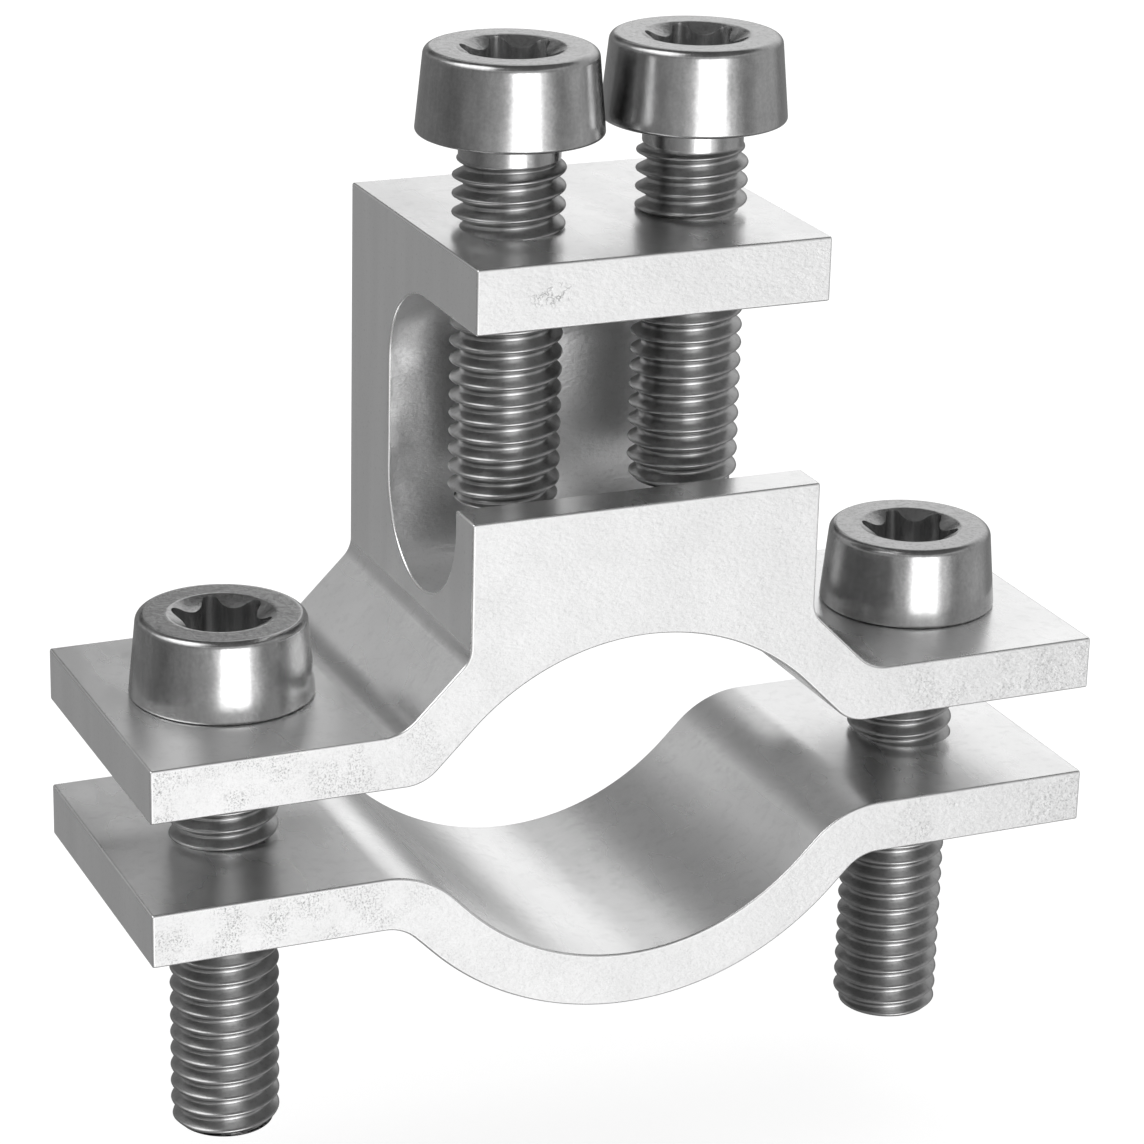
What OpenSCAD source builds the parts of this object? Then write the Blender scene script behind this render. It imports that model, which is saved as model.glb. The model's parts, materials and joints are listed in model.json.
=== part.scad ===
// Grounding clamp: an upper clamp body and a lower saddle strap close round a pipe,
// and two screws in the body's tower press a conductor into its pocket.
// Millimetres. X runs from flange to flange, Y along the pipe, Z up.
// The origin is on the axis of the body's saddle arc, halfway along the pipe.

/* [Clamp body] */
// Width over both flanges
body_w = 55; // [50:0.5:64]
// Length along the pipe, of the body and of the strap
body_d = 18.2; // [17.5:0.1:24]
// Thickness of the flanges and the flanks
plate_t = 3; // [2.5:0.1:4]
// Radius of the saddle arc, in the body and in the strap
saddle_r = 13.75; // [12.5:0.05:14.5]
// Height of the saddle's crown above the flange's top face
crown_h = 3.8; // [3:0.1:4.5]
// Slope of the flanks between the saddle and the flanges, in degrees
flank_a = 45; // [42:0.5:48]
// Radius of the fillets where the body's flanks meet its flanges
flange_fillet = 2.5; // [1.5:0.1:3]

/* [Tower] */
// Width of the tower
tower_w = 20; // [18:0.1:21.5]
// Height of the tower above the flange's top face
tower_h = 24.8; // [22:0.1:30]
// Radius of the fillets at the foot of the tower
tower_fillet = 1.5; // [1:0.1:2]
// Thickness of the tower's top plate
top_plate_t = 3.5; // [3:0.1:5]

/* [Conductor pocket] */
// Width of the pocket, from the lip to the back wall
pocket_w = 9.9; // [8:0.1:10.5]
// Thickness of the lip in front of the pocket
lip_t = 2.5; // [2:0.1:3.5]
// Height of the lip above the flange's top face
lip_h = 11.2; // [9.5:0.1:13]
// Least thickness of the web between the pocket and the saddle
web_t = 1.35; // [1:0.05:2.5]

/* [Saddle strap] */
// Thickness of the strap
strap_t = 3; // [2.5:0.1:4]
// Gap between the flanges of the body and the strap
flange_gap = 5.1; // [1:0.1:9]
// Depth of the strap's trough below its flange's top face
trough_h = 6.7; // [5.5:0.1:7.5]
// Inner radius of the bends between the strap's flanks and its flanges
bend_r = 2.5; // [1.5:0.1:3]

/* [Screws] */
// Outer diameter of the thread
thread_d = 6; // [5:0.1:6.4]
// Pitch of the thread, whose turns are drawn as separate rings
thread_pitch = 1; // [0.75:0.05:1.25]
// Diameter of the plain neck under the head
neck_d = 5.4; // [4.6:0.1:5.6]
// Length of the plain neck under the head
neck_h = 1.25; // [0.8:0.05:2]
// Width of the chamfer at the end of the screw
tip_chamfer = 0.35; // [0.2:0.05:0.6]
// Diameter of the head at its base
head_d = 10; // [9:0.1:10.4]
// Height of the head
head_h = 4.5; // [4:0.1:6]
// Taper of the head's side, in degrees
head_taper = 5.5; // [3:0.5:8]
// Radius round the top edge of the head
head_top_r = 0.45; // [0.3:0.05:0.7]
// Radius round the bottom edge of the head
head_edge_r = 0.2; // [0.1:0.05:0.3]

/* [Six-lobe recess] */
// Diameter over the tips of the lobes
lobe_tip_d = 5.5; // [5:0.05:5.6]
// Diameter between the ridges that part the lobes
lobe_root_d = 3.95; // [3.6:0.05:4.1]
// Radius of each lobe's tip
lobe_r = 0.46; // [0.4:0.01:0.55]
// Depth of the recess, to the rim of its bottom cone
recess_h = 2.8; // [2:0.1:3.2]
// Width of the flat rim round the bottom cone
floor_rim = 0.15; // [0.1:0.05:0.4]
// Diameter of the flat at the tip of the bottom cone
floor_tip_d = 0.6; // [0.4:0.1:1]
// Diameter of the lead-in cone at the top of the head
lead_d = 5.7; // [5.65:0.05:6.2]
// Included angle of the lead-in cone and of the bottom cone, in degrees
lead_a = 120; // [110:1:130]
// Turn of the recess about the screw's axis, in degrees
recess_turn = 26; // [0:1:59]

/* [Screw places] */
// Distance between the axes of the two flange screws
flange_screw_span = 41.2; // [39:0.1:43]
// Length of a flange screw under its head
flange_screw_len = 25.4; // [22:0.1:35]
// Distance between the axes of the two clamp screws
clamp_screw_span = 10.5; // [10.2:0.1:11.5]
// Length of a clamp screw under its head
clamp_screw_len = 20; // [18:0.1:22]
// Height of the clamp screws' heads above the top plate
clamp_screw_lift = 5; // [4:0.1:8]

/* [Fits] */
// Radial clearance of a thread in its tapped hole
thread_clear = 0.05; // [0.02:0.01:0.1]
// Radial clearance of a flange screw in the body's flange
flange_clear = 0.3; // [0.2:0.05:0.5]

/* [Hidden] */
$fn = 96;

// How far a cutter reaches past the faces that it cuts
cut = 1;
// Directions along the row's axes, in degrees
right_dir = 0;
up_dir = 90;
left_dir = 180;
down_dir = 270;

// Heights in the body
flange_top = saddle_r - crown_h;
flange_bottom = flange_top - plate_t;
tower_top = flange_top + tower_h;
plate_bottom = tower_top - top_plate_t;
lip_top = flange_top + lip_h;

// The pocket across the tower
pocket_r = pocket_w / 2;
pocket_y = -body_d / 2 + lip_t + pocket_r;
pocket_low_z = saddle_r + web_t + pocket_r;
pocket_high_z = plate_bottom - pocket_r;

// Heights in the strap
strap_top = flange_bottom - flange_gap;
strap_bottom = strap_top - strap_t;
strap_arc_z = strap_top - trough_h + saddle_r;
strap_bend_z = strap_bottom - bend_r;
strap_bend_x = (saddle_r + strap_t + bend_r - (strap_arc_z - strap_bend_z) * cos(flank_a))
               / sin(flank_a);

// The section of the thread: its flanks stand 30 degrees off square to the axis
flank_tilt = 30;
crest_w = thread_pitch / 8;
root_w = thread_pitch / 5;
groove_run = (thread_pitch - crest_w - root_w) / 2;
groove_h = groove_run / tan(flank_tilt);

// The outline of the recess: each ridge arc meets the lobe arcs beside it almost smoothly
lobe_count = 6;
lobe_step = 360 / lobe_count;
half_step = lobe_step / 2;
lobe_at = lobe_tip_d / 2 - lobe_r;
root_r = lobe_root_d / 2;
smooth_r = (lobe_at * lobe_at + root_r * root_r - 2 * lobe_at * root_r * cos(half_step)
            - lobe_r * lobe_r) / (2 * (lobe_r - root_r + lobe_at * cos(half_step)));
ridge_at = root_r + smooth_r;
// Half the angle that a lobe's arc spans
lobe_half_a = atan2(ridge_at * sin(half_step), ridge_at * cos(half_step) - lobe_at);
// How far a ridge's arc cuts into the lobe arcs beside it, so that the arcs cross
ridge_bite = 0.01;
ridge_r = smooth_r + ridge_bite;

// Where a line parallel to the body's right flank has the given height. The line lies
// off outside the flank's inner face, measured square to it.
function flank_x(z, off) = (saddle_r + off - z * cos(flank_a)) / sin(flank_a);

function at(angle, radius) = [radius * cos(angle), radius * sin(angle)];

// What rounding by a circle of radius r takes from a sharp corner: the corner between
// two lines that touch the circle in directions a1 and a2.
module corner_cut(centre, r, a1, a2) {
    reach = (r + cut) / (1 + cos(a2 - a1));
    translate(centre) difference() {
        polygon([[0, 0], at(a1, r + cut), reach * (at(a1, 1) + at(a2, 1)), at(a2, r + cut)]);
        circle(r);
    }
}

module both_sides() {
    children();
    mirror([1, 0]) children();
}

// A closed outline from its right half, listed upwards from the middle
function mirrored(right) =
    concat(right, [for (k = [len(right) - 1 : -1 : 0]) [-right[k].x, right[k].y]]);

// An outline passes a hollow corner by way of the centre of the corner's fillet, between
// the two points where the fillet's circle touches the outline. The circle is cut out next.
function round_by(centre, r, a1, a2) = [centre + at(a1, r), centre, centre + at(a2, r)];

// The body seen along the pipe
module body_outline() {
    foot_x = tower_w / 2;
    knee = [flank_x(flange_top + flange_fillet, plate_t + flange_fillet), flange_top + flange_fillet];
    foot = [foot_x + tower_fillet,
            (saddle_r + plate_t + tower_fillet - (foot_x + tower_fillet) * sin(flank_a)) / cos(flank_a)];
    flank_dir = down_dir - flank_a;
    difference() {
        polygon(mirrored(concat(
            [[body_w / 2, flange_bottom], [body_w / 2, flange_top]],
            round_by(knee, flange_fillet, down_dir, flank_dir),
            round_by(foot, tower_fillet, flank_dir, left_dir),
            [[foot_x, tower_top]]
        )));
        both_sides() translate(knee) circle(flange_fillet);
        both_sides() translate(foot) circle(tower_fillet);
    }
}

// The space for the pipe between the body's flanks, seen along the pipe
module saddle_mouth() {
    below = flange_bottom - cut;
    edge = [flank_x(flange_bottom + flange_fillet, flange_fillet), flange_bottom + flange_fillet];
    difference() {
        polygon(mirrored(concat(
            [[edge.x, below]],
            round_by(edge, flange_fillet, down_dir, down_dir - flank_a),
            [[0, saddle_r / cos(flank_a)]]
        )));
        both_sides() translate(edge) circle(flange_fillet);
        corner_cut([0, 0], saddle_r, up_dir - flank_a, up_dir + flank_a);
    }
}

// The pocket and its open front, seen from the side
module pocket_outline() {
    outside = -body_d / 2 - cut;
    front = pocket_y - pocket_r;
    back = pocket_y + pocket_r;
    floor_z = pocket_low_z - pocket_r;
    low = [pocket_y, pocket_low_z];
    difference() {
        polygon([[back, floor_z], [back, plate_bottom], [outside, plate_bottom],
                 [outside, lip_top], [front, lip_top], [front, floor_z]]);
        corner_cut(low, pocket_r, -up_dir, right_dir);
        corner_cut(low, pocket_r, -up_dir, -left_dir);
        corner_cut([pocket_y, pocket_high_z], pocket_r, up_dir, right_dir);
    }
}

module clamp_body() {
    color("gainsboro") difference() {
        rotate([90, 0, 0]) linear_extrude(body_d, center = true) difference() {
            body_outline();
            saddle_mouth();
        }
        rotate([90, 0, 90]) linear_extrude(tower_w + 2 * cut, center = true) pocket_outline();
        for (side = [-1, 1]) {
            translate([side * flange_screw_span / 2, 0, flange_bottom - cut])
                cylinder(h = plate_t + 2 * cut, r = thread_d / 2 + flange_clear);
            translate([side * clamp_screw_span / 2, pocket_y, plate_bottom - cut])
                cylinder(h = top_plate_t + 2 * cut, r = thread_d / 2 + thread_clear);
        }
    }
}

// As flank_x, for the strap's right flank
function strap_flank_x(z, off) =
    (saddle_r + off + (z - strap_arc_z) * cos(flank_a)) / sin(flank_a);

// The strap seen along the pipe: its flanges, flanks and trough are one bent sheet
module strap_outline() {
    outer_r = saddle_r + strap_t;
    arc = [0, strap_arc_z];
    bend = [strap_bend_x, strap_bend_z];
    flank_dir = up_dir + flank_a;
    difference() {
        polygon(mirrored(concat(
            [arc - [0, outer_r / cos(flank_a)]],
            round_by(bend, bend_r, flank_dir, up_dir),
            [[body_w / 2, strap_bottom], [body_w / 2, strap_top]]
        )));
        both_sides() translate(bend) circle(bend_r);
        corner_cut(arc, outer_r, flank_a - up_dir, -flank_a - up_dir);
        difference() {
            polygon(mirrored([
                arc - [0, saddle_r / cos(flank_a)],
                [strap_flank_x(strap_top + cut, 0), strap_top + cut]
            ]));
            corner_cut(arc, saddle_r, flank_a - up_dir, -flank_a - up_dir);
        }
        both_sides() corner_cut(bend, bend_r + strap_t, up_dir, flank_dir);
    }
}

module saddle_strap() {
    color("gainsboro") difference() {
        rotate([90, 0, 0]) linear_extrude(body_d, center = true) strap_outline();
        for (side = [-1, 1])
            translate([side * flange_screw_span / 2, 0, strap_bottom - cut])
                cylinder(h = strap_t + 2 * cut, r = thread_d / 2 + thread_clear);
    }
}

// Radius at height z, inset by the given distance from the head's tapered side
function head_side_r(z, inset) = head_d / 2 - z * tan(head_taper) - inset / cos(head_taper);

// The half section of one groove of the thread, listed downwards, above the crest at height z
function groove(z) = [
    [thread_d / 2, z + root_w + 2 * groove_run],
    [thread_d / 2 - groove_h, z + root_w + groove_run],
    [thread_d / 2 - groove_h, z + groove_run],
    [thread_d / 2, z]
];

// Half section of a screw whose head is seated at height 0
module screw_section(len) {
    major_r = thread_d / 2;
    neck_r = neck_d / 2;
    top_z = head_h - head_top_r;
    thread_high = -neck_h - (major_r - neck_r);
    thread_low = tip_chamfer - len;
    grooves = floor((thread_high - thread_low - crest_w) / thread_pitch);
    difference() {
        polygon(concat(
            [[0, head_h], [head_side_r(head_h, 0), head_h], [head_side_r(0, 0), 0]],
            [[neck_r, 0], [neck_r, -neck_h], [major_r, thread_high]],
            [for (k = [grooves - 1 : -1 : 0]) each groove(thread_low + crest_w + k * thread_pitch)],
            [[major_r, thread_low], [major_r - tip_chamfer, -len], [0, -len]]
        ));
        corner_cut([head_side_r(top_z, head_top_r), top_z], head_top_r, up_dir, head_taper);
        corner_cut([head_side_r(head_edge_r, head_edge_r), head_edge_r], head_edge_r,
            -up_dir, head_taper);
    }
}

// The outline round one lobe, with a sharp tip, and on to the centre of the next ridge's arc
function lobe_corners(dir) = [
    at(dir, lobe_at) + at(dir - lobe_half_a, lobe_r),
    at(dir, lobe_at + lobe_r / cos(lobe_half_a)),
    at(dir, lobe_at) + at(dir + lobe_half_a, lobe_r),
    at(dir + half_step, ridge_at)
];

// The six-lobe outline: round lobes parted by round ridges
module lobe_outline() {
    rotate(recess_turn) difference() {
        polygon([for (k = [0 : lobe_count - 1]) each lobe_corners(lobe_step * k)]);
        for (k = [0 : lobe_count - 1])
            rotate(lobe_step * k + half_step) translate([ridge_at, 0]) circle(ridge_r);
        for (k = [0 : lobe_count - 1])
            rotate(lobe_step * k) corner_cut([lobe_at, 0], lobe_r, -lobe_half_a, lobe_half_a);
    }
}

module recess() {
    lead_slope = tan(lead_a / 2);
    bottom = head_h - recess_h;
    floor_r = root_r - floor_rim;
    floor_tip_r = floor_tip_d / 2;
    floor_h = (floor_r - floor_tip_r) / lead_slope;
    translate([0, 0, bottom]) linear_extrude(recess_h + cut) lobe_outline();
    translate([0, 0, head_h - lead_d / 2 / lead_slope])
        cylinder(h = lead_d / 2 / lead_slope + cut, r1 = 0, r2 = lead_d / 2 + cut * lead_slope);
    translate([0, 0, bottom - floor_h]) cylinder(h = floor_h, r1 = floor_tip_r, r2 = floor_r);
}

module screw(len) {
    difference() {
        rotate_extrude() screw_section(len);
        recess();
    }
}

module flange_screw(side) {
    color("dimgray") translate([side * flange_screw_span / 2, 0, flange_top])
        screw(flange_screw_len);
}

module clamp_screw(side) {
    color("dimgray") translate([side * clamp_screw_span / 2, pocket_y, tower_top + clamp_screw_lift])
        screw(clamp_screw_len);
}

module flange_screw_left() {
    flange_screw(-1);
}

module flange_screw_right() {
    flange_screw(1);
}

module clamp_screw_left() {
    clamp_screw(-1);
}

module clamp_screw_right() {
    clamp_screw(1);
}

clamp_body();
saddle_strap();
flange_screw_left();
flange_screw_right();
clamp_screw_left();
clamp_screw_right();
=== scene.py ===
import json
import math
from collections import namedtuple

import bmesh
import bpy
import numpy as np
from mathutils import Matrix, Vector

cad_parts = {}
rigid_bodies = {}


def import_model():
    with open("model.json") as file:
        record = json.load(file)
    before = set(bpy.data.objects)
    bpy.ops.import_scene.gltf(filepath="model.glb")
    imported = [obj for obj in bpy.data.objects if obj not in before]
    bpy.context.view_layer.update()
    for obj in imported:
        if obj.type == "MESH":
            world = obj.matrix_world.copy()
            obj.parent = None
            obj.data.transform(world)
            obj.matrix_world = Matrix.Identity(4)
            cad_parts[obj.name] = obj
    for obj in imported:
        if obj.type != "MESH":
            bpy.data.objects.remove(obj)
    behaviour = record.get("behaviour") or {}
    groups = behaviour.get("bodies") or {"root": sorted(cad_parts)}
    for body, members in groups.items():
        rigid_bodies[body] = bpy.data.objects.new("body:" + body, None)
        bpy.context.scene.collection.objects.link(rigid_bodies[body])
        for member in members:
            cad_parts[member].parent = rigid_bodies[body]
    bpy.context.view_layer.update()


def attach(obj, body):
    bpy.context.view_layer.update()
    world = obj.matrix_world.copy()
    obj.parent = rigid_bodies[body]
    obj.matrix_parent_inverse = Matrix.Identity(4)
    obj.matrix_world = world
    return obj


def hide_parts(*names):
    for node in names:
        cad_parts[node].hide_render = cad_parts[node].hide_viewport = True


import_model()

# Sizes are in millimetres, as in the part's source, and become metres where a mesh is made.
MM = 0.001

# Sizes of the clamp, by the names of the part's source
BODY_W, BODY_D, PLATE_T = 55.0, 18.2, 3.0
SADDLE_R, CROWN_H, FLANK_A = 13.75, 3.8, 45.0
FLANGE_FILLET, TOWER_FILLET = 2.5, 1.5
TOWER_W, TOWER_H, TOP_PLATE_T = 20.0, 24.8, 3.5
POCKET_W, LIP_T, LIP_H, WEB_T = 9.9, 2.5, 11.2, 1.35
STRAP_T, FLANGE_GAP, TROUGH_H, BEND_R = 3.0, 5.1, 6.7, 2.5
THREAD_D, PITCH, THREAD_H = 6.0, 1.0, 0.6
NECK_D, NECK_H, TIP_CHAMFER = 5.4, 1.25, 0.35
HEAD_D, HEAD_H, HEAD_TAPER, HEAD_TOP_R, HEAD_EDGE_R = 10.0, 4.5, 5.5, 0.45, 0.2
LOBE_COUNT, LOBE_TIP_D, LOBE_ROOT_D, LOBE_R = 6, 5.5, 3.95, 0.46
RECESS_H, RECESS_TURN, LEAD_D, LEAD_A = 2.8, 26.0, 5.7, 120.0
FLANGE_SPAN, FLANGE_LEN, FLANGE_CLEAR = 41.2, 25.4, 0.3
CLAMP_SPAN, CLAMP_LEN, CLAMP_LIFT = 10.5, 20.0, 5.0

# Heights and centres that follow from them
FLANGE_TOP = SADDLE_R - CROWN_H
FLANGE_BOTTOM = FLANGE_TOP - PLATE_T
TOWER_TOP = FLANGE_TOP + TOWER_H
PLATE_BOTTOM = TOWER_TOP - TOP_PLATE_T
LIP_TOP = FLANGE_TOP + LIP_H
POCKET_R = POCKET_W / 2
POCKET_Y = -BODY_D / 2 + LIP_T + POCKET_R
POCKET_LOW = SADDLE_R + WEB_T + POCKET_R
POCKET_HIGH = PLATE_BOTTOM - POCKET_R
STRAP_TOP = FLANGE_BOTTOM - FLANGE_GAP
STRAP_BOTTOM = STRAP_TOP - STRAP_T
STRAP_ARC = STRAP_TOP - TROUGH_H + SADDLE_R
FLANK_COS = math.cos(math.radians(FLANK_A))
FLANK_SIN = math.sin(math.radians(FLANK_A))
BEND_Z = STRAP_BOTTOM - BEND_R
BEND_X = (SADDLE_R + STRAP_T + BEND_R - (STRAP_ARC - BEND_Z) * FLANK_COS) / FLANK_SIN
LOBE_STEP = 360 / LOBE_COUNT

# The strap's way down, at the end of which its trough just reaches the floor
STRAP_DROP = 13.5
FLOOR_Z = STRAP_ARC - SADDLE_R - STRAP_T - STRAP_DROP

# Steps of the arcs in degrees, and how far a cutter reaches past the faces that it cuts
SADDLE_STEP, FILLET_STEP, FOOT_STEP, BEND_STEP, POCKET_STEP, HOLE_STEP = 1.5, 5, 6, 3, 4, 5
CUT = 1.0

# How wide the edges are broken, from which angle on, and how strongly large faces keep the shading flat
EDGE_BEVEL, EDGE_A, FLAT_WEIGHT = 0.13, 35, 70

# The thread in shares of its pitch: half a crest, where the root starts, how soft the corners are, and how
# far and in how many steps the softening reaches
CREST_HALF, ROOT_FROM, THREAD_SOFT = 0.055, 0.40, 0.035
SOFT_REACH, SOFT_STEPS = 0.09, 19
# Its fade into the neck, its room in a tapped hole, and how far the cutter of that hole stands out
THREAD_FADE, TAP_CLEAR, TAP_OUT = 0.4, 0.02, 0.7
# Steps round the thread and along one pitch
THREAD_SIDES, THREAD_STEPS = 96, 16
# Heights at which a crest of each screw's thread passes the direction of +X: left, right
FLANGE_CREST = (0.3, 0.9)
CLAMP_CREST = (0.0, 0.5)

# Steps round the screw's head, and of its rounded lower and upper edges
HEAD_SIDES, LOW_STEPS, TOP_STEPS = 288, 7, 12
# How far the head's skin starts inside the neck, and the neck inside the head
UNDER_IN, NECK_IN = 0.3, 0.02
# Heights of the rings up the side, and the flat rims of the top beside its edge and beside the lead-in cone
SIDE_RINGS = (1.2, 2.4, 3.4)
RIM_FLAT, LEAD_FLAT = 0.12, 0.2
# How wide the cone's corner is eased, the shares of it inwards and down, and how far the recess stays inside
LEAD_SOFT, SOFT_IN, SOFT_DOWN, LEAD_IN = 0.07, 0.3, 0.35, 0.02
# The recess's wall leans in: depths of its leaning parts at the cone and over the bottom, and how far it has
# come in under the cone, over the bottom and at the bottom
WALL_TOP_H, WALL_LOW_H = 0.12, 0.1
WALL_TOP_IN, WALL_LOW_IN, WALL_END_IN = 0.01, 0.02, 0.08
# Under the bottom it falls to a point in two cones: the share of its width between them, how deep that is,
# and the point's radius and depth
CONE_SHARE, CONE_DROP, POINT_R, POINT_DROP = 0.6, 0.45, 0.001, 0.95

# Where the pits are full and where they fade out, and the share of them that is left there
PITS_FULL_X, PITS_GONE_X, PITS_LEAST = -20.0, -6.0, 0.08
# Where deeper saw marks start and where they are full
MARKS_FROM_X, MARKS_FULL_X = 14.0, 18.0
# The middle of a scratched patch, its half sizes, how deep it goes in, and the share of it that is full
PATCH_X, PATCH_Z = -5.9, 33.1
PATCH_HALF_W, PATCH_HALF_H, PATCH_DEEP, PATCH_FULL = 1.5, 0.8, 1.0, 0.3
# How wide the pocket's back wall falls away at its left mouth
MOUTH_W = 3.0
# Where the stains, the dulling and the relief lie in the noise, so that they don't fall together
STAIN_AT, DULL_AT, RELIEF_AT = 0.37, 5.1, 9.3
# The shares of such a place along X, Y and Z, and the roughness of all noise
SHIFT_WAY = (1.0, 0.5, 0.3)
NOISE_ROUGHNESS = 0.6

# Numbers of the materials on the aluminium pieces and on the screws
SAWN_NO, DRAWN_NO, SIDE_NO, POCKET_NO = range(4)
HEAD_NO, TOP_NO, RECESS_NO, THREAD_NO = range(4)
# How near a face's middle lies to a sawn plane, and to the pocket's wall, mouth and floor
PLANE_NEAR, WALL_NEAR, MOUTH_NEAR, FLOOR_NEAR = 0.01, 0.05, 0.2, 0.1
# How square to their plane the normals of sawn faces and of sides are
SAWN_SQUARE, SIDE_SQUARE = 0.97, 0.995

# Metres within which points are one on the plates and on the threads, and within which heights are equal
WELD_M, THREAD_WELD_M, SAME_M = 1e-6, 2e-7, 1e-8


class Tree:
    """A few short ways to add nodes and links to one node tree."""

    def __init__(self, tree):
        self.t = tree

    def node(self, kind, **settings):
        n = self.t.nodes.new(kind)
        for key, value in settings.items():
            setattr(n, key, value)
        return n

    def put(self, socket, value):
        """Sets a socket to a plain value or links another socket to it."""
        if isinstance(value, bpy.types.NodeSocket):
            self.t.links.new(value, socket)
        else:
            socket.default_value = value

    def math(self, operation, a, b=0.0):
        n = self.node("ShaderNodeMath", operation=operation)
        self.put(n.inputs[0], a)
        self.put(n.inputs[1], b)
        return n.outputs[0]

    def mapped(self, value, low, high, to_low, to_high):
        """value from low to high, eased into to_low to to_high and held beyond them."""
        n = self.node("ShaderNodeMapRange", interpolation_type="SMOOTHSTEP")
        self.put(n.inputs["Value"], value)
        self.put(n.inputs["From Min"], low)
        self.put(n.inputs["From Max"], high)
        self.put(n.inputs["To Min"], to_low)
        self.put(n.inputs["To Max"], to_high)
        return n.outputs[0]

    def blend(self, a, b, share):
        n = self.node("ShaderNodeMix", data_type="FLOAT")
        self.put(n.inputs[0], share)
        self.put(n.inputs[2], a)
        self.put(n.inputs[3], b)
        return n.outputs[0]

    def noise(self, coord, scale, detail, stretch, shift):
        m = self.node("ShaderNodeMapping")
        self.put(m.inputs["Vector"], coord)
        self.put(m.inputs["Scale"], stretch)
        self.put(m.inputs["Location"], tuple(shift * share for share in SHIFT_WAY))
        n = self.node("ShaderNodeTexNoise")
        self.put(n.inputs["Vector"], m.outputs[0])
        self.put(n.inputs["Scale"], scale)
        self.put(n.inputs["Detail"], detail)
        self.put(n.inputs["Roughness"], NOISE_ROUGHNESS)
        return n.outputs["Fac"]

    def round_curve(self, degrees, stops):
        """A smooth curve through stops of (degrees, value), from -180 to 180 degrees."""
        n = self.node("ShaderNodeValToRGB")
        ramp = n.color_ramp
        ramp.interpolation = "EASE"
        ramp.elements.remove(ramp.elements[1])
        for k, (at, value) in enumerate(stops):
            place = at / 360 + 0.5
            stop = ramp.elements.new(place) if k else ramp.elements[0]
            stop.position = place
            stop.color = (value, value, value, 1)
        self.put(n.inputs[0], self.math("ADD", self.math("DIVIDE", degrees, 360.0), 0.5))
        return n.outputs[0]

    def grey(self, value):
        n = self.node("ShaderNodeCombineColor")
        for socket in n.inputs[:3]:
            self.put(socket, value)
        return n.outputs[0]

    def parts(self, vector):
        n = self.node("ShaderNodeSeparateXYZ")
        self.put(n.inputs[0], vector)
        return n.outputs


# One layer of noise: how much it does, how fine it is (features to the metre), between which two levels it
# comes in, its finer detail, its stretch along X, Y and Z, whether it draws lines, and where it lies.
Layer = namedtuple("Layer", "amount scale low high detail stretch lines where",
                   defaults=(0.3, 0.7, 2.0, (1, 1, 1), False, None))


def new_tree(name):
    m = bpy.data.materials.new(name)
    m.use_nodes = True
    m.node_tree.nodes.clear()
    return m, Tree(m.node_tree)


def strength(t, coord, layer, shift):
    """How strongly a layer shows, from 0 to 1."""
    n = t.noise(coord, layer.scale, layer.detail, layer.stretch, shift)
    if layer.lines:
        n = t.math("ABSOLUTE", t.math("SUBTRACT", n, 0.5))
        f = t.mapped(n, layer.low, layer.high, 1.0, 0.0)
    else:
        f = t.mapped(n, layer.low, layer.high, 0.0, 1.0)
    if layer.where:
        f = t.math("MULTIPLY", f, layer.where(t, coord))
    return f


def metal(name, grey, rough, relief=(), stains=(), dulling=()):
    """A bare metal. relief lifts its surface by millimetres, stains darken it and dulling roughens it."""
    m, t = new_tree(name)
    out = t.node("ShaderNodeOutputMaterial")
    p = t.node("ShaderNodeBsdfPrincipled")
    t.put(out.inputs["Surface"], p.outputs[0])
    t.put(p.inputs["Metallic"], 1.0)
    coord = t.node("ShaderNodeTexCoord").outputs["Object"]
    tone = grey
    for k, layer in enumerate(stains):
        part = t.math("MULTIPLY", strength(t, coord, layer, STAIN_AT + k), layer.amount)
        tone = t.math("MULTIPLY", tone, t.math("SUBTRACT", 1.0, part))
    t.put(p.inputs["Base Color"], t.grey(tone))
    dull = rough
    for k, layer in enumerate(dulling):
        part = t.math("MULTIPLY", strength(t, coord, layer, DULL_AT + k), layer.amount)
        dull = t.math("ADD", dull, part)
    t.put(p.inputs["Roughness"], dull)
    height = 0.0
    for k, layer in enumerate(relief):
        part = t.math("MULTIPLY", strength(t, coord, layer, RELIEF_AT + k), layer.amount * MM)
        height = t.math("ADD", height, part)
    if relief:
        b = t.node("ShaderNodeBump")
        t.put(b.inputs["Distance"], 1.0)
        t.put(b.inputs["Height"], height)
        t.put(p.inputs["Normal"], b.outputs[0])
    return m


def clustered(t, coord, scale, shift, low, high, least, detail=2.0):
    """A coarse noise that comes in between two levels, from least to 1."""
    return t.mapped(t.noise(coord, scale, detail, (1, 1, 1), shift), low, high, least, 1.0)


def pitted(t, coord):
    """The pits lie in clusters towards the left ends of the flanges."""
    left = t.mapped(t.parts(coord)[0], PITS_FULL_X * MM, PITS_GONE_X * MM, 1.0, PITS_LEAST)
    here = clustered(t, coord, scale=420, shift=3.3, low=0.42, high=0.62, least=0.12)
    return t.math("MULTIPLY", left, here)


def roughened(t, coord):
    """The saw left deeper marks towards the right end of the flanges."""
    right = t.mapped(t.parts(coord)[0], MARKS_FROM_X * MM, MARKS_FULL_X * MM, 0.0, 1.0)
    here = clustered(t, coord, scale=260, shift=6.1, low=0.40, high=0.60, least=0.15)
    return t.math("MULTIPLY", right, here)


def near_left(t, coord):
    """The pocket's back wall falls away a little towards its left mouth."""
    return t.mapped(t.parts(coord)[0], -TOWER_W / 2 * MM, (-TOWER_W / 2 + MOUTH_W) * MM, 1.0, 0.0)


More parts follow.
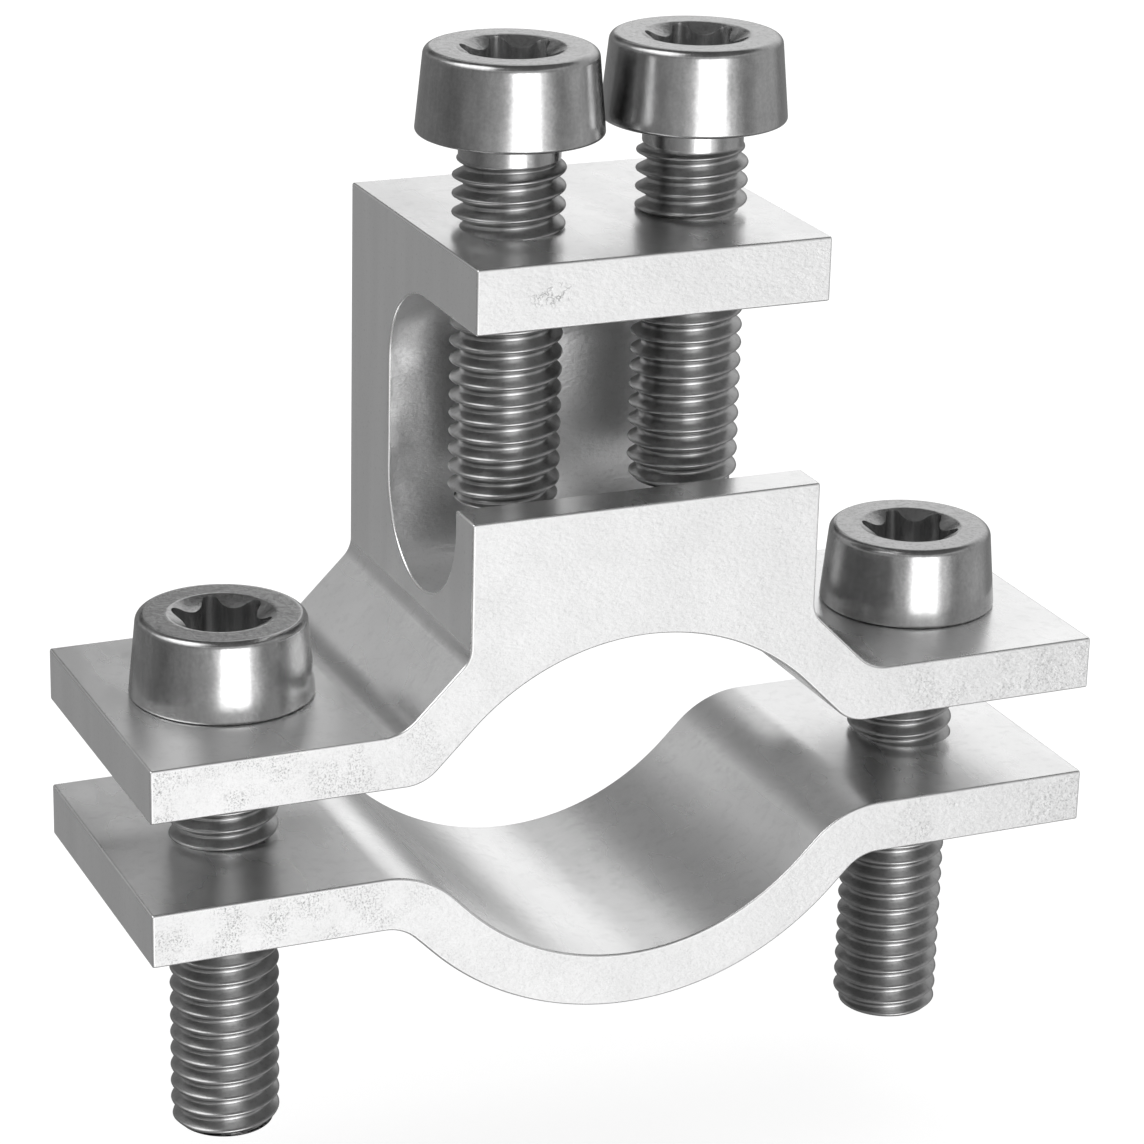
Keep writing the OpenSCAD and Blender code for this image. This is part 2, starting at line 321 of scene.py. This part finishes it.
def scratched(t, coord):
    """A small scratched patch on the front of the top plate."""
    x, y, z = t.parts(coord)
    across = t.math("DIVIDE", t.math("SUBTRACT", x, PATCH_X * MM), PATCH_HALF_W * MM)
    up = t.math("DIVIDE", t.math("SUBTRACT", z, PATCH_Z * MM), PATCH_HALF_H * MM)
    away = t.math("ADD", t.math("MULTIPLY", across, across), t.math("MULTIPLY", up, up))
    inside = t.mapped(away, PATCH_FULL, 1.0, 1.0, 0.0)
    here = clustered(t, coord, scale=1100, shift=7.7, low=0.46, high=0.54, least=0.0, detail=1.0)
    front = t.mapped(y, (-BODY_D / 2) * MM, (PATCH_DEEP - BODY_D / 2) * MM, 1.0, 0.0)
    return t.math("MULTIPLY", t.math("MULTIPLY", inside, here), front)


SAWN = metal("aluminium_sawn", grey=0.95, rough=0.42,
             relief=[Layer(0.0075, 5200, detail=4, stretch=(0.7, 1, 1.2)),
                     Layer(0.0045, 2300, detail=3, stretch=(0.7, 1, 1.2)),
                     Layer(0.0160, 3000, detail=4, stretch=(0.7, 1, 1.2), where=roughened),
                     Layer(-0.012, 1700, 0.0, 0.05, lines=True, where=scratched)],
             stains=[Layer(0.42, 9500, 0.50, 0.62, detail=5, where=pitted),
                     Layer(0.34, 6100, 0.52, 0.64, detail=5, stretch=(1, 1, 0.7), where=pitted),
                     Layer(0.30, 5600, 0.50, 0.66, detail=4, where=roughened),
                     Layer(0.10, 6200, 0.55, 0.72, detail=4), Layer(0.05, 300, detail=3),
                     Layer(0.42, 1700, 0.0, 0.045, lines=True, where=scratched)])
DRAWN = metal("aluminium_drawn", grey=0.93, rough=0.25,
              relief=[Layer(0.0010, 1600, stretch=(1, 0.15, 1)), Layer(0.0006, 5200)],
              stains=[Layer(0.07, 160, detail=3), Layer(0.06, 5200, 0.60, 0.74), Layer(0.05, 1500, 0.5, 0.7),
                      Layer(0.04, 420, 0.0, 0.006, detail=1, stretch=(1, 0.25, 1), lines=True)],
              dulling=[Layer(0.05, 220, 0.35, stretch=(1, 0.4, 1), detail=3)])
SIDE = metal("aluminium_side", grey=0.90, rough=0.42,
             relief=[Layer(0.0030, 1500, stretch=(1, 1, 0.3)), Layer(0.0020, 4000, detail=3)],
             stains=[Layer(0.05, 500, stretch=(1, 1, 0.1)), Layer(0.10, 5200, 0.58, 0.72)])
POCKET = metal("aluminium_pocket", grey=0.96, rough=0.36,
               relief=[Layer(0.0065, 3600, detail=4, stretch=(0.7, 1, 1.3)), Layer(0.003, 900),
                       Layer(-0.25, 170, 0.25, 0.75, where=near_left)],
               stains=[Layer(0.06, 300, detail=3), Layer(0.08, 4000, 0.55, 0.7)])
STEEL = metal("steel_turned", grey=0.47, rough=0.19,
              relief=[Layer(0.0006, 2200, stretch=(1, 1, 0.06)), Layer(0.0012, 3200, detail=3)],
              stains=[Layer(0.08, 2600, stretch=(1, 1, 0.06)), Layer(0.12, 5200, detail=3),
                      Layer(0.14, 900, 0.35, detail=4, stretch=(1, 1, 0.6))],
              dulling=[Layer(0.07, 1200, detail=3)])
STEEL_TOP = metal("steel_top", grey=0.46, rough=0.25,
                  relief=[Layer(0.004, 3400, detail=3)],
                  stains=[Layer(0.22, 4500, 0.45, 0.70), Layer(0.10, 900, detail=3)])
# The thread's steel is set darker than the head's steel: painted shade over the whole thread. Its noise
# layers are its own stains.
STEEL_THREAD_SHADED = metal("steel_rolled_painted_shade", grey=0.40, rough=0.31,
                     stains=[Layer(0.15, 900, detail=3), Layer(0.15, 4500, 0.5, 0.7)])
# The recess's steel is set lighter than the head's steel: painted light that lifts the recess out of its
# shade. Its streaks are stains.
STEEL_RECESS_LIT = metal("steel_recess_painted_light", grey=0.55, rough=0.26,
                     stains=[Layer(0.30, 1800, stretch=(1, 1, 0.08))])


def arc(cx, cy, r, start, end, step):
    n = max(2, math.ceil(abs(end - start) / step))
    angles = np.radians(np.linspace(start, end, n + 1))
    return [(cx + r * math.cos(a), cy + r * math.sin(a)) for a in angles]


def with_left(right):
    """A half outline on the right, listed upwards, and its mirror image listed back down."""
    return right + [(-x, z) for x, z in reversed(right)]


def flank_x(z, off):
    """Where the line that lies off outside the saddle's flank passes the height z."""
    return (SADDLE_R + off - z * FLANK_COS) / FLANK_SIN


def body_outline():
    knee_z = FLANGE_TOP + FLANGE_FILLET
    inner_z = FLANGE_BOTTOM + FLANGE_FILLET
    foot_x = TOWER_W / 2 + TOWER_FILLET
    foot_z = (SADDLE_R + PLATE_T + TOWER_FILLET - foot_x * FLANK_SIN) / FLANK_COS
    knee_x = flank_x(knee_z, PLATE_T + FLANGE_FILLET)
    right = arc(0, 0, SADDLE_R, 90, 90 - FLANK_A, SADDLE_STEP)[1:]
    right += arc(flank_x(inner_z, FLANGE_FILLET), inner_z, FLANGE_FILLET, 270 - FLANK_A, 270, FILLET_STEP)
    right += [(BODY_W / 2, FLANGE_BOTTOM), (BODY_W / 2, FLANGE_TOP)]
    right += arc(knee_x, knee_z, FLANGE_FILLET, 270, 270 - FLANK_A, FILLET_STEP)
    right += arc(foot_x, foot_z, TOWER_FILLET, 270 - FLANK_A, 180, FOOT_STEP)
    right += [(TOWER_W / 2, TOWER_TOP)]
    return [(0, SADDLE_R)] + with_left(right)


def strap_outline():
    right = arc(0, STRAP_ARC, SADDLE_R + STRAP_T, -90, FLANK_A - 90, SADDLE_STEP)[1:]
    right += arc(BEND_X, BEND_Z, BEND_R, 90 + FLANK_A, 90, FILLET_STEP)
    right += [(BODY_W / 2, STRAP_BOTTOM), (BODY_W / 2, STRAP_TOP)]
    right += arc(BEND_X, BEND_Z, BEND_R + STRAP_T, 90, 90 + FLANK_A, BEND_STEP)
    right += arc(0, STRAP_ARC, SADDLE_R, FLANK_A - 90, -90, SADDLE_STEP)[:-1]
    bottom, trough = (0, STRAP_ARC - SADDLE_R - STRAP_T), (0, STRAP_ARC - SADDLE_R)
    return [bottom] + right + [trough] + [(-x, z) for x, z in reversed(right)]


def pocket_outline():
    out = -BODY_D / 2 - CUT
    points = [(out, LIP_TOP), (POCKET_Y - POCKET_R, LIP_TOP)]
    points += arc(POCKET_Y, POCKET_LOW, POCKET_R, 180, 360, POCKET_STEP)
    points += arc(POCKET_Y, POCKET_HIGH, POCKET_R, 0, 90, POCKET_STEP)
    return points + [(out, PLATE_BOTTOM)]


def as_object(name, bm):
    mesh = bpy.data.meshes.new(name)
    bm.to_mesh(mesh)
    bm.free()
    o = bpy.data.objects.new(name, mesh)
    bpy.context.scene.collection.objects.link(o)
    return o


def prism(name, outline, place, half):
    """An outline drawn out by half each way. place turns (u, v, w) into a point."""
    bm = bmesh.new()
    near = [bm.verts.new(Vector(place(u, v, -half)) * MM) for u, v in outline]
    far = [bm.verts.new(Vector(place(u, v, half)) * MM) for u, v in outline]
    bm.faces.new(near)
    bm.faces.new(far[::-1])
    for k in range(len(near)):
        n = (k + 1) % len(near)
        bm.faces.new((near[k], far[k], far[n], near[n]))
    bmesh.ops.recalc_face_normals(bm, faces=bm.faces)
    return as_object(name, bm)


def upright_hole(x, y, low, high, r):
    outline = arc(x, y, r, 0, 360, HOLE_STEP)[:-1]
    middle = (low + high) / 2
    return prism("hole", outline, lambda u, v, w: (u, v, middle + w), (high - low) / 2)


def settle(o):
    """Applies an object's modifiers."""
    bpy.context.view_layer.update()
    shape = o.evaluated_get(bpy.context.evaluated_depsgraph_get())
    mesh = bpy.data.meshes.new_from_object(shape)
    o.modifiers.clear()
    o.data = mesh


def cut(o, cutters):
    for c in cutters:
        m = o.modifiers.new("cut", "BOOLEAN")
        m.operation = "DIFFERENCE"
        m.solver = "EXACT"
        m.object = c
    settle(o)
    for c in cutters:
        bpy.data.objects.remove(c)


def bevel(o):
    """Breaks every sharp edge, as a deburred saw cut has it."""
    weld = o.modifiers.new("weld", "WELD")
    weld.merge_threshold = WELD_M
    m = o.modifiers.new("bevel", "BEVEL")
    m.width = EDGE_BEVEL * MM
    m.segments = 2
    m.limit_method = "ANGLE"
    m.angle_limit = math.radians(EDGE_A)
    m.use_clamp_overlap = True
    settle(o)


def soften(o):
    """Smooth shading in which the large flat faces stay flat."""
    for p in o.data.polygons:
        p.use_smooth = True
    m = o.modifiers.new("weighted", "WEIGHTED_NORMAL")
    m.mode = "FACE_AREA"
    m.weight = FLAT_WEIGHT
    m.keep_sharp = False
    settle(o)


def paint(o, materials, pick):
    """Gives each face of o the material whose number pick(centre in mm, normal) returns."""
    o.data.materials.clear()
    for m in materials:
        o.data.materials.append(m)
    for p in o.data.polygons:
        p.material_index = pick(Vector(p.center) / MM, p.normal)


def dress(o, node):
    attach(o, node)
    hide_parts(node)


def plain_face(c, n):
    """The material of a face with the middle c and the normal n, away from the pocket."""
    if abs(c.y) > BODY_D / 2 - PLANE_NEAR and abs(n.y) > SAWN_SQUARE:
        return SAWN_NO
    return SIDE_NO if abs(n.x) > SIDE_SQUARE else DRAWN_NO


def body_face(c, n):
    number = plain_face(c, n)
    deep = abs(c.y - POCKET_Y) < POCKET_R + WALL_NEAR and abs(c.x) < TOWER_W / 2 - MOUTH_NEAR
    high = POCKET_LOW - POCKET_R - FLOOR_NEAR < c.z < PLATE_BOTTOM + WALL_NEAR
    return POCKET_NO if deep and high and number != SAWN_NO else number


def build_body():
    o = prism("clamp_body_metal", body_outline(), lambda u, v, w: (u, w, v), BODY_D / 2)
    cutters = [prism("pocket", pocket_outline(), lambda u, v, w: (w, u, v), TOWER_W / 2 + CUT)]
    for side in (-1, 1):
        x, r = side * FLANGE_SPAN / 2, THREAD_D / 2 + FLANGE_CLEAR
        cutters.append(upright_hole(x, 0, FLANGE_BOTTOM - CUT, FLANGE_TOP + CUT, r))
    cut(o, cutters)
    bevel(o)
    taps = []
    for side, crest in zip((-1, 1), CLAMP_CREST):
        taps.append(thread_cutter(side * CLAMP_SPAN / 2, POCKET_Y, PLATE_BOTTOM, TOWER_TOP, crest))
    cut(o, taps)
    paint(o, [SAWN, DRAWN, SIDE, POCKET], body_face)
    soften(o)
    dress(o, "clamp_body")


def build_strap():
    o = prism("saddle_strap_metal", strap_outline(), lambda u, v, w: (u, w, v), BODY_D / 2)
    bevel(o)
    taps = []
    for side, crest in zip((-1, 1), FLANGE_CREST):
        taps.append(thread_cutter(side * FLANGE_SPAN / 2, 0, STRAP_BOTTOM, STRAP_TOP, crest))
    cut(o, taps)
    paint(o, [SAWN, DRAWN, SIDE], plain_face)
    soften(o)
    dress(o, "saddle_strap")


def lobe_radius(degrees):
    """The recess's radius in a direction given in degrees from a lobe."""
    at, root = LOBE_TIP_D / 2 - LOBE_R, LOBE_ROOT_D / 2
    half = math.radians(LOBE_STEP / 2)
    gap = at * at + root * root - 2 * at * root * math.cos(half)
    ridge = (gap - LOBE_R * LOBE_R) / (2 * (LOBE_R - root + at * math.cos(half)))
    far = root + ridge
    a = math.radians(min(degrees % LOBE_STEP, LOBE_STEP - degrees % LOBE_STEP))
    touch = math.atan2(far * math.sin(half), far * math.cos(half) - at)
    touch_x, touch_y = at + LOBE_R * math.cos(touch), LOBE_R * math.sin(touch)
    if a <= math.atan2(touch_y, touch_x):
        return at * math.cos(a) + math.sqrt(LOBE_R ** 2 - (at * math.sin(a)) ** 2)
    b = half - a
    return far * math.cos(b) - math.sqrt(ridge ** 2 - (far * math.sin(b)) ** 2)


def ring_mesh(rings, angles, materials):
    """A skin through rings of (material number, radii, heights). A strip has the number of its later ring."""
    n = len(angles)
    ca, sa = np.cos(angles), np.sin(angles)
    verts = []
    for _, r, z in rings:
        r, z = np.broadcast_to(r, n), np.broadcast_to(z, n)
        verts += list(zip(r * ca * MM, r * sa * MM, z * MM))
    faces, numbers = [], []
    for k in range(len(rings) - 1):
        for i in range(n):
            j = (i + 1) % n
            faces.append((k * n + i, k * n + j, (k + 1) * n + j, (k + 1) * n + i))
            numbers.append(rings[k + 1][0])
    mesh = bpy.data.meshes.new("rings")
    mesh.from_pydata(verts, [], faces)
    for m in materials:
        mesh.materials.append(m)
    mesh.polygons.foreach_set("material_index", numbers)
    mesh.polygons.foreach_set("use_smooth", [True] * len(faces))
    return mesh


def side_radius(z, inset=0.0):
    """The radius of the head's tapered side at a height over the seat, less an inset square to it."""
    taper = math.radians(HEAD_TAPER)
    return HEAD_D / 2 - z * math.tan(taper) - inset / math.cos(taper)


def rounded(r, from_a, to_a, steps):
    """Points of an edge's arc of radius r, as (outwards, upwards) from its middle."""
    return [(r * math.cos(a), r * math.sin(a)) for a in np.radians(np.linspace(from_a, to_a, steps))]


def head_rings(angles):
    """Rings from the underside, up the side, over the top and down into the recess."""
    rings = [(HEAD_NO, NECK_D / 2 - UNDER_IN, 0.0)]
    for out, up in rounded(HEAD_EDGE_R, -90, HEAD_TAPER, LOW_STEPS):
        rings.append((HEAD_NO, side_radius(HEAD_EDGE_R, HEAD_EDGE_R) + out, HEAD_EDGE_R + up))
    for z in SIDE_RINGS:
        rings.append((HEAD_NO, side_radius(z), z))
    shoulder = HEAD_H - HEAD_TOP_R
    shoulder_r = side_radius(shoulder, HEAD_TOP_R)
    for out, up in rounded(HEAD_TOP_R, HEAD_TAPER, 90, TOP_STEPS):
        rings.append((HEAD_NO, shoulder_r + out, shoulder + up))
    lead_r = LEAD_D / 2
    for r in (shoulder_r - RIM_FLAT, lead_r + LEAD_FLAT, lead_r + LEAD_SOFT):
        rings.append((TOP_NO, r, HEAD_H))
    rings.append((TOP_NO, lead_r - LEAD_SOFT * SOFT_IN, HEAD_H - LEAD_SOFT * SOFT_DOWN))
    lobes = np.array([lobe_radius(math.degrees(a) - RECESS_TURN) for a in angles])
    edge = np.minimum(lobes, lead_r - LEAD_IN)
    edge_z = HEAD_H - (lead_r - edge) / math.tan(math.radians(LEAD_A / 2))
    bottom = HEAD_H - RECESS_H
    return rings + [(TOP_NO, edge, edge_z),
                    (RECESS_NO, edge - WALL_TOP_IN, edge_z - WALL_TOP_H),
                    (RECESS_NO, edge - WALL_LOW_IN, bottom + WALL_LOW_H),
                    (RECESS_NO, edge - WALL_END_IN, bottom),
                    (RECESS_NO, edge * CONE_SHARE, bottom - CONE_DROP),
                    (RECESS_NO, POINT_R, bottom - POINT_DROP)]


def flank_depth(share):
    """How deep the thread is cut, from 0 to 1, at a share of its pitch from the middle of a crest."""
    d = abs((share + 0.5) % 1.0 - 0.5)
    return min(1.0, max(0.0, (d - CREST_HALF) / (ROOT_FROM - CREST_HALF)))


def thread_profile(n):
    """Radii at n even steps through one pitch, from the middle of a crest, with soft corners."""
    near = np.linspace(-SOFT_REACH, SOFT_REACH, SOFT_STEPS)
    weight = np.exp(-(near / THREAD_SOFT) ** 2)
    weight /= weight.sum()
    depth = np.array([sum(w * flank_depth(k / n + d) for w, d in zip(weight, near)) for k in range(n)])
    return THREAD_D / 2 - THREAD_H * (depth - depth.min())


def thread_solid(low, high, crest_z, shape, sides=THREAD_SIDES, steps=THREAD_STEPS):
    """A right-hand thread from low to high as one sheared grid, closed at both ends. A crest passes the
    direction of +X at crest_z, and shape(r, z) returns the radius to use for r at the height z."""
    profile = thread_profile(steps)
    start = crest_z + (math.floor((low - crest_z) / PITCH) - 1) * PITCH
    rows = (math.ceil((high - start) / PITCH) + 1) * steps
    bm = bmesh.new()
    grid = []
    for i in range(sides):
        a = 2 * math.pi * i / sides
        column = []
        for j in range(rows + 1):
            z = min(max(start + (j / steps + i / sides) * PITCH, low), high)
            r = shape(profile[j % steps], z)
            column.append(bm.verts.new(Vector((r * math.cos(a), r * math.sin(a), z)) * MM))
        grid.append(column)
    for i in range(sides):
        right = grid[(i + 1) % sides]
        rise = 0 if i + 1 < sides else steps
        for j in range(rows - rise):
            bm.faces.new((grid[i][j], right[j + rise], right[j + rise + 1], grid[i][j + 1]))
    bmesh.ops.remove_doubles(bm, verts=bm.verts, dist=THREAD_WELD_M)
    bmesh.ops.dissolve_degenerate(bm, dist=SAME_M, edges=bm.edges)
    for f in bm.faces:
        f.smooth = True
    for z in (low, high):
        rim = [v for v in bm.verts if abs(v.co.z - z * MM) < SAME_M]
        bm.faces.new(sorted(rim, key=lambda v: math.atan2(v.co.y, v.co.x)))
    bmesh.ops.recalc_face_normals(bm, faces=bm.faces)
    return bm


def thread_cutter(x, y, low, high, crest_z):
    """A tapped hole's space: the thread itself, a hair wider, standing out of both faces."""
    bm = thread_solid(low - TAP_OUT, high + TAP_OUT, crest_z, lambda r, z: r + TAP_CLEAR)
    bmesh.ops.translate(bm, verts=bm.verts, vec=Vector((x, y, 0)) * MM)
    return as_object("tapped_hole", bm)


def build_screw(node, x, y, seat, length, crest_z):
    def shape(r, z):
        """Fades the thread into the plain neck above it and the chamfer below it."""
        f = min(1.0, max(0.0, (-NECK_H - z) / THREAD_FADE))
        r = NECK_D / 2 + (r - NECK_D / 2) * f * f * (3 - 2 * f)
        return min(r, THREAD_D / 2 - TIP_CHAMFER + z + length)

    angles = np.linspace(0, 2 * math.pi, HEAD_SIDES + 1)[:-1]
    materials = [STEEL, STEEL_TOP, STEEL_RECESS_LIT, STEEL_THREAD_SHADED]
    head = ring_mesh(head_rings(angles), angles, materials)
    neck_rings = [(HEAD_NO, NECK_D / 2, z) for z in (NECK_IN, -NECK_H / 2, -NECK_H)]
    neck = ring_mesh(neck_rings, angles, materials)
    shank = bpy.data.meshes.new("shank")
    thread = thread_solid(-length, -NECK_H, crest_z - seat, shape)
    thread.to_mesh(shank)
    thread.free()
    shank.polygons.foreach_set("material_index", [THREAD_NO] * len(shank.polygons))
    bm = bmesh.new()
    for mesh in (head, neck, shank):
        bm.from_mesh(mesh)
    for e in bm.edges:
        e.smooth = {f.material_index for f in e.link_faces} != {TOP_NO, RECESS_NO}
    bmesh.ops.translate(bm, verts=bm.verts, vec=Vector((x, y, seat)) * MM)
    o = as_object(node + "_metal", bm)
    for m in materials:
        o.data.materials.append(m)
    dress(o, node)


# The studio as the object's metal sees it. Each band is the brightness by the direction round the object,
# in degrees from the front with the right above zero, and takes over from the band below it between two
# heights in degrees above level. From the camera upright faces show SOFT_FRONT, the top plate LOW_BACK, the
# flanges' tops HIGH_BACK, and the trough and the fillets also UPPER_LEFT.
UNDERNEATH = [(-180, 0.22), (-97, 0.22), (-47, 0.34), (8, 0.44), (65, 0.44), (110, 0.28), (180, 0.22)]
SOFT_FRONT = [(-180, 0.27), (-130, 0.28), (-97, 0.20), (-71, 0.34), (-47, 0.50), (-33, 0.65), (-24, 1.40),
              (19, 1.60), (26, 1.66), (31, 1.40), (35, 0.60), (44, 0.36), (65, 0.64), (90, 0.60),
              (110, 0.32), (150, 0.30), (180, 0.27)]
BRIGHT_FRONT = [(-180, 0.27), (-130, 0.28), (-97, 0.20), (-71, 0.34), (-47, 0.50), (-33, 0.60), (-24, 1.0),
                (14, 1.0), (26, 0.95), (33, 0.45), (44, 0.36), (65, 0.64), (90, 0.60), (110, 0.32),
                (150, 0.30), (180, 0.27)]
LOW_BACK = [(-180, 0.30), (-158, 0.36), (-130, 0.30), (-60, 0.30), (-28, 0.60), (-20, 1.0), (2, 1.0),
            (14, 1.0), (30, 0.40), (90, 0.60), (115, 0.50), (140, 0.98), (150, 1.03), (158, 1.3),
            (163, 1.15), (168, 0.45), (180, 0.30)]
HIGH_BACK = [(-180, 0.06), (-168, 0.12), (-160, 0.32), (-153, 0.62), (-138, 0.30), (-60, 0.30),
             (-40, 0.40), (-24, 0.50), (-15, 0.90), (12, 0.90), (30, 0.40), (90, 0.60), (125, 0.80),
             (138, 1.0), (151, 1.02), (155, 0.85), (159, 0.12), (166, 0.05), (180, 0.06)]
UPPER_LEFT = [(-180, 0.29), (-168, 0.25), (-158, 0.38), (-142, 0.40), (-125, 1.6), (-66, 1.6),
              (-45, 0.70), (30, 0.70), (90, 0.50), (140, 0.90), (157, 1.30), (163, 1.05), (169, 0.76),
              (176, 0.38), (180, 0.29)]
TOP_LEFT = [(-180, 0.13), (-140, 0.13), (-120, 3.0), (-70, 3.0), (-45, 0.20), (180, 0.13)]
OVERHEAD = [(-180, 0.13), (180, 0.13)]
BANDS = [(UNDERNEATH, -90, -90), (SOFT_FRONT, -46, -34), (BRIGHT_FRONT, -19, -13), (LOW_BACK, 2, 12),
         (HIGH_BACK, 15.5, 19), (UPPER_LEFT, 27, 32), (TOP_LEFT, 40, 46), (OVERHEAD, 68, 78)]

# The strip lamp that gives the screws their highlight: the direction of its middle in degrees from the front
# and above level, its distance, width and height in metres, and its power in watts
STRIP_WAY, STRIP_HEIGHT, STRIP_FAR = -3.0, -7.0, 1.0
STRIP_SIZE = (0.64, 0.77)
STRIP_WATTS = 4.6

# The floor's half width and its drop under its height in metres, its grey, and the white that it adds
FLOOR_HALF, FLOOR_DROP = 3.0, 0.0001
FLOOR_GREY, FLOOR_GLOW = 0.5, 0.62


def build_strip():
    """Lights the screws alone, since it would burn out the paler aluminium. The floor doesn't shade it."""
    lamp = bpy.data.lights.new("strip", "AREA")
    lamp.shape = "RECTANGLE"
    lamp.size, lamp.size_y = STRIP_SIZE
    lamp.energy = STRIP_WATTS
    strip = bpy.data.objects.new("strip", lamp)
    way, height = math.radians(STRIP_WAY), math.radians(STRIP_HEIGHT)
    ahead = Vector((math.sin(way) * math.cos(height), -math.cos(way) * math.cos(height), math.sin(height)))
    strip.location = ahead * STRIP_FAR
    strip.rotation_euler = ahead.to_track_quat("Z", "Y").to_euler()
    strip.visible_camera = False
    bpy.context.scene.collection.objects.link(strip)
    lit = bpy.data.collections.new("strip_lit")
    shading = bpy.data.collections.new("strip_shading")
    for o in bpy.context.scene.objects:
        if o.name.endswith("_metal"):
            shading.objects.link(o)
            if "screw" in o.name:
                lit.objects.link(o)
    strip.light_linking.receiver_collection = lit
    strip.light_linking.blocker_collection = shading


def build_floor():
    corners = [(-FLOOR_HALF, -FLOOR_HALF, 0), (FLOOR_HALF, -FLOOR_HALF, 0), (FLOOR_HALF, FLOOR_HALF, 0),
               (-FLOOR_HALF, FLOOR_HALF, 0)]
    mesh = bpy.data.meshes.new("floor")
    mesh.from_pydata(corners, [], [(0, 1, 2, 3)])
    floor = bpy.data.objects.new("floor", mesh)
    floor.location.z = FLOOR_Z * MM - FLOOR_DROP
    floor.visible_glossy = False
    bpy.context.scene.collection.objects.link(floor)
    m, t = new_tree("floor_white")
    out = t.node("ShaderNodeOutputMaterial")
    diffuse = t.node("ShaderNodeBsdfDiffuse")
    t.put(diffuse.inputs["Color"], (FLOOR_GREY, FLOOR_GREY, FLOOR_GREY, 1))
    glow = t.node("ShaderNodeEmission")
    t.put(glow.inputs["Color"], (1, 1, 1, 1))
    t.put(glow.inputs["Strength"], FLOOR_GLOW)
    both = t.node("ShaderNodeAddShader")
    t.put(both.inputs[0], diffuse.outputs[0])
    t.put(both.inputs[1], glow.outputs[0])
    t.put(out.inputs["Surface"], both.outputs[0])
    mesh.materials.append(m)


def build_world():
    """Plain white for the camera and for matt surfaces, and the soft bands for metal."""
    world = bpy.data.worlds.new("studio")
    bpy.context.scene.world = world
    world.use_nodes = True
    world.node_tree.nodes.clear()
    t = Tree(world.node_tree)
    x, y, z = t.parts(t.node("ShaderNodeTexCoord").outputs["Generated"])
    way = t.math("MULTIPLY", t.math("ARCTAN2", x, t.math("MULTIPLY", y, -1.0)), 180 / math.pi)
    height = t.math("MULTIPLY", t.math("ARCSINE", z), 180 / math.pi)
    light = 0.0
    for stops, low, high in BANDS:
        band = t.round_curve(way, stops)
        light = t.blend(light, band, t.mapped(height, low, high, 0.0, 1.0)) if high > low else band
    soft = t.node("ShaderNodeBackground")
    t.put(soft.inputs["Color"], t.grey(light))
    plain = t.node("ShaderNodeBackground")
    t.put(plain.inputs["Color"], (1, 1, 1, 1))
    mix = t.node("ShaderNodeMixShader")
    t.put(mix.inputs[0], t.node("ShaderNodeLightPath").outputs["Is Glossy Ray"])
    t.put(mix.inputs[1], plain.outputs[0])
    t.put(mix.inputs[2], soft.outputs[0])
    out = t.node("ShaderNodeOutputWorld")
    t.put(out.inputs["Surface"], mix.outputs[0])


# The camera as fitted to the photograph: its place, the degrees that it is turned to the right, tilted
# down and rolled, and its focal length in the photograph's pixels.
CAMERA_AT = (-81.79, -184.42, 89.32)
CAMERA_TURN, CAMERA_TILT, CAMERA_ROLL = 23.821, 20.441, 1.475
FOCAL_PX, PHOTO_PX, SENSOR_W = 3914.5, 1144, 36.0
# How near and how far it sees, in metres
CLIP_NEAR, CLIP_FAR = 0.005, 20


def place_camera():
    cam = bpy.data.cameras.new("camera")
    cam.sensor_width = SENSOR_W
    cam.lens = FOCAL_PX / PHOTO_PX * SENSOR_W
    cam.dof.use_dof = False
    cam.clip_start = CLIP_NEAR
    cam.clip_end = CLIP_FAR
    o = bpy.data.objects.new("camera", cam)
    bpy.context.scene.collection.objects.link(o)
    turned = Matrix.Rotation(math.radians(-CAMERA_TURN), 4, "Z")
    tilted = Matrix.Rotation(math.radians(90 - CAMERA_TILT), 4, "X")
    rolled = Matrix.Rotation(math.radians(CAMERA_ROLL), 4, "Z")
    o.matrix_world = Matrix.Translation(Vector(CAMERA_AT) * MM) @ turned @ tilted @ rolled
    bpy.context.scene.camera = o
    bpy.context.scene.view_settings.view_transform = "Standard"


build_body()
build_strap()
for side, name, crest in ((-1, "left", FLANGE_CREST[0]), (1, "right", FLANGE_CREST[1])):
    build_screw("flange_screw_" + name, side * FLANGE_SPAN / 2, 0, FLANGE_TOP, FLANGE_LEN, crest)
for side, name, crest in ((-1, "left", CLAMP_CREST[0]), (1, "right", CLAMP_CREST[1])):
    x, seat = side * CLAMP_SPAN / 2, TOWER_TOP + CLAMP_LIFT
    build_screw("clamp_screw_" + name, x, POCKET_Y, seat, CLAMP_LEN, crest)
build_strip()
build_floor()
build_world()
place_camera()
